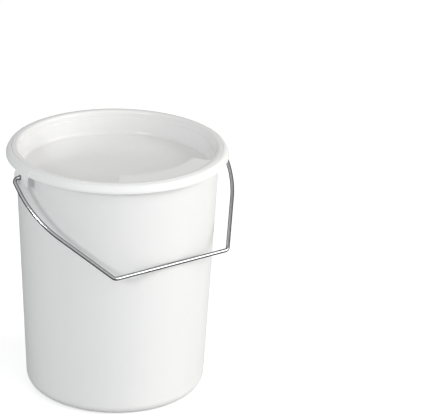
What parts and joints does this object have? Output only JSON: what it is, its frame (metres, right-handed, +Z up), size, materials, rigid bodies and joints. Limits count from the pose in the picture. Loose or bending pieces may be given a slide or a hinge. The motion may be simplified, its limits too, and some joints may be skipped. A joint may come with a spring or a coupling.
{
  "type": "plastic fermenting bucket",
  "caption": "White plastic fermenting bucket with a push-in recessed lid, a finger ledge in the lid and a swinging steel wire bail.",
  "frame": {"origin": "under the middle of the tub, on the surface that it stands on", "axes": "X along the bail's hinge axis, -Y towards the front, where the grip hangs and the lid has its finger ledge, +Z up"},
  "size_m": [0.2858, 0.26, 0.3],
  "materials": {
    "tub_plastic": "satin injection-moulded white polypropylene",
    "lid_plastic": "semi-gloss injection-moulded white polypropylene",
    "bail_wire": "bright zinc-plated drawn steel wire"
  },
  "bodies": {
    "tub": {"tub": "tub_plastic"},
    "lid": {"lid": "lid_plastic"},
    "bail": {"bail": "bail_wire"}
  },
  "joints": [
    {"name": "lid_lift", "type": "slide", "parent": "tub", "child": "lid", "axis": [0, 0, 1], "range_m": [0, 0.08]},
    {"name": "bail_swing", "type": "hinge", "parent": "tub", "child": "bail", "pos_m": [0, 0, 0.287], "axis": [-1, 0, 0], "range_deg": [0, 258.2]}
  ]
}
